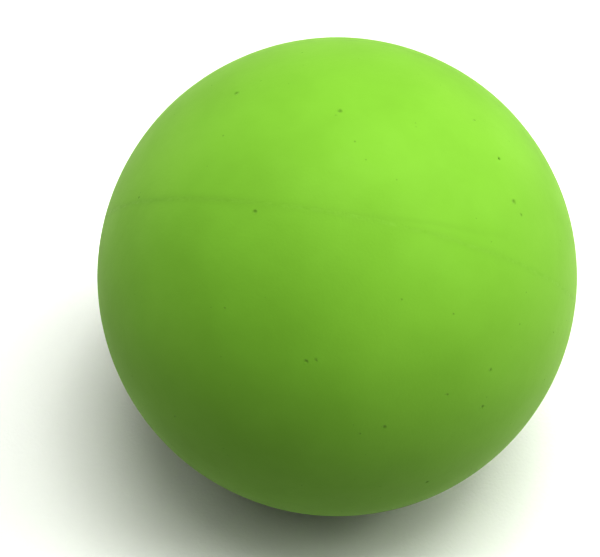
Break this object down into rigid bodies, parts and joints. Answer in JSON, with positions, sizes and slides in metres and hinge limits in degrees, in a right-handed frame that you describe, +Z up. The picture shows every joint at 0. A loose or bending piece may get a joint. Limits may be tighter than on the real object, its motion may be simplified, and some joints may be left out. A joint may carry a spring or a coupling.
{
  "type": "massage ball",
  "caption": "Firm round rubber massage ball: a solid core inside moulded half shells joined along one great circle, for pressing and rolling on sore muscles.",
  "frame": {"origin": "centre of the ball", "axes": "+Z up as the ball lies; the plane of the seam passes through the origin, and its normal, the mould's axis, leans 60 degrees from +Z, over a bearing 78 degrees from +X towards +Y"},
  "size_m": [0.063, 0.063, 0.063],
  "materials": {
    "cover_rubber": "matt to satin moulded lime-green rubber",
    "seam_cement": "matt cured rubber cement, darker green",
    "core_rubber": "matt dark grey moulded rubber"
  },
  "bodies": {
    "root": {"core": "core_rubber", "cover_upper": "cover_rubber", "cover_lower": "cover_rubber", "seam_bond": "seam_cement"}
  },
  "joints": []
}
